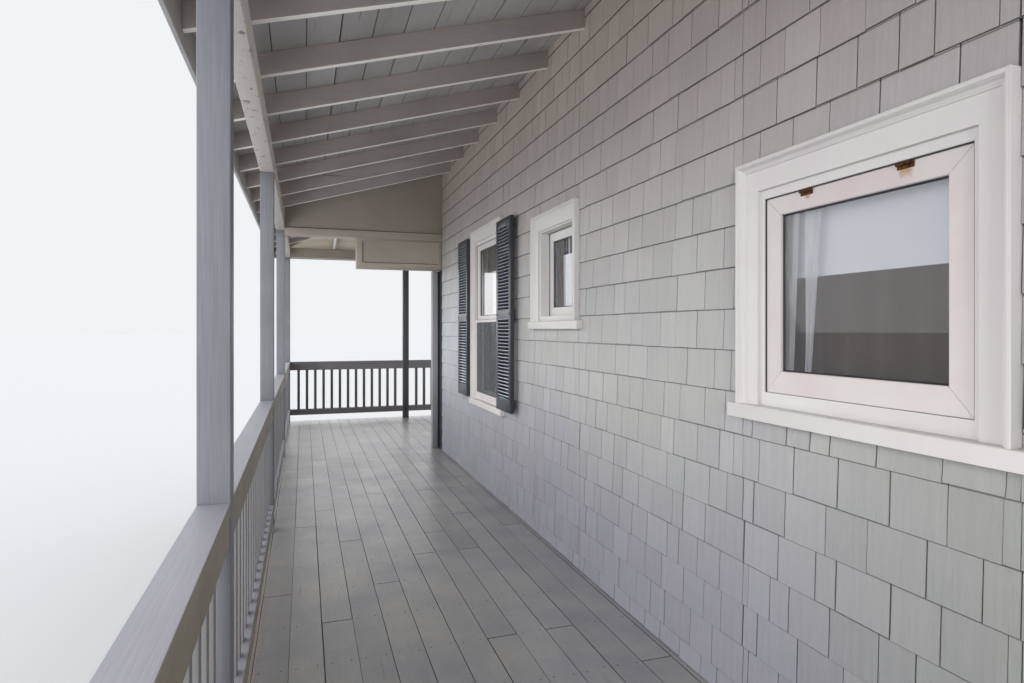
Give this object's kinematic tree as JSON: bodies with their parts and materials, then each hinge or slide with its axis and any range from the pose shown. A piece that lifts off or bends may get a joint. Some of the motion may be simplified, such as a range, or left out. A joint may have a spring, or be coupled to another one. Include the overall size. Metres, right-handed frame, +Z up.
{
  "type": "beach house porch corner",
  "caption": "Covered timber porch wrapping the corner of a shingled beach house, with railing, exposed rafters, two walls, windows and louvred shutters.",
  "frame": {"origin": "middle of the footprint's bounding box at ground level", "axes": "+Z up, +Y along the side porch towards the sea, +X from the side porch towards the house"},
  "size_m": [4.8814, 11.4421, 4.5729],
  "materials": {
    "concrete": "cast concrete, rough",
    "framing_lumber": "weathered sawn lumber",
    "deck_paint": "worn grey deck paint",
    "wall_lining": "painted lining boards, matt",
    "shingle_paint": "grey paint on cedar shingles",
    "post_paint": "weathered grey paint",
    "rail_paint": "weathered grey paint",
    "dark_paint": "dark paint",
    "rafter_paint": "taupe grey paint",
    "roof_board_paint": "dark grey paint",
    "roof_shingle": "weathered cedar",
    "panel_paint": "taupe paint",
    "window_paint": "off-white paint",
    "hinge_iron": "rusted iron",
    "screen_mesh": "woven insect mesh, dark grey",
    "window_glass": "clear window glass",
    "shutter_paint": "black-blue paint, satin"
  },
  "bodies": {
    "root": {"side_foundation": "concrete", "front_foundation": "concrete", "deck_piers": "concrete", "deck_posts": "framing_lumber", "deck_girders": "framing_lumber", "deck_ledgers": "framing_lumber", "deck_joists": "framing_lumber", "side_deck": "deck_paint", "front_deck": "deck_paint", "side_wall": "wall_lining", "front_wall": "wall_lining", "side_shingles": "shingle_paint", "front_shingles": "shingle_paint", "rim_boards": "post_paint", "side_posts": "post_paint", "corner_post": "post_paint", "front_posts": "post_paint", "wall_post": "post_paint", "side_beam": "post_paint", "front_beam": "post_paint", "fascia": "post_paint", "panel_band": "post_paint", "corner_rail": "rail_paint", "side_rail_near": "rail_paint", "side_rail_middle": "rail_paint", "side_rail_far": "rail_paint", "front_rail_left": "rail_paint", "front_rail_right": "rail_paint", "corner_board": "dark_paint", "side_rafters": "rafter_paint", "front_rafters": "rafter_paint", "hip_rafter": "rafter_paint", "side_roof_boards": "roof_board_paint", "front_roof_boards": "roof_board_paint", "side_roofing": "roof_shingle", "front_roofing": "roof_shingle", "gable_panel": "panel_paint", "boxed_panel": "panel_paint", "awning_frame": "window_paint", "awning_sash": "window_paint", "small_frame": "window_paint", "small_sash": "window_paint", "side_hung_frame": "window_paint", "side_hung_sashes": "window_paint", "front_hung_frame": "window_paint", "front_hung_sashes": "window_paint", "window_screens": "window_paint", "window_sills": "window_paint", "awning_hinges": "hinge_iron", "screen_cloth": "screen_mesh", "window_glass": "window_glass", "side_shutters": "shutter_paint", "front_shutters": "shutter_paint"}
  },
  "joints": []
}
